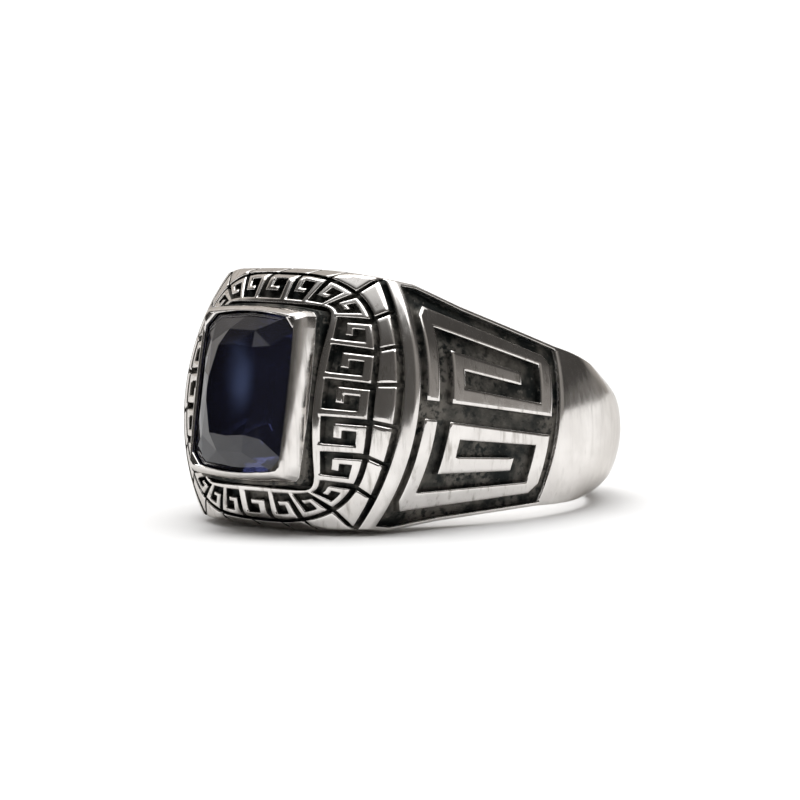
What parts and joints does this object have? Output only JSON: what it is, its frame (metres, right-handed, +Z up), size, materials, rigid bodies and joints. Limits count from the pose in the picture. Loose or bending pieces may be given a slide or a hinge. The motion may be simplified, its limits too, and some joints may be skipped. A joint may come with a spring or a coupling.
{
  "type": "class ring",
  "caption": "Cast metal class ring: dark blue faceted stone in a rectangular bezel on a domed head, raised key band, tiled border, side panels with a raised fret, tapering shank.",
  "frame": {"origin": "middle of the ring's box, on the surface it lies on", "axes": "+Z up; the ring lies on its side with the head and its stone towards -Y and the back of the shank towards +Y"},
  "size_m": [0.0236, 0.0298, 0.0157],
  "materials": {
    "silver": "polished silver, blackened in its recesses",
    "stone": "faceted and polished dark blue stone"
  },
  "bodies": {
    "root": {"ring_body": "silver", "stone": "stone"}
  },
  "joints": []
}
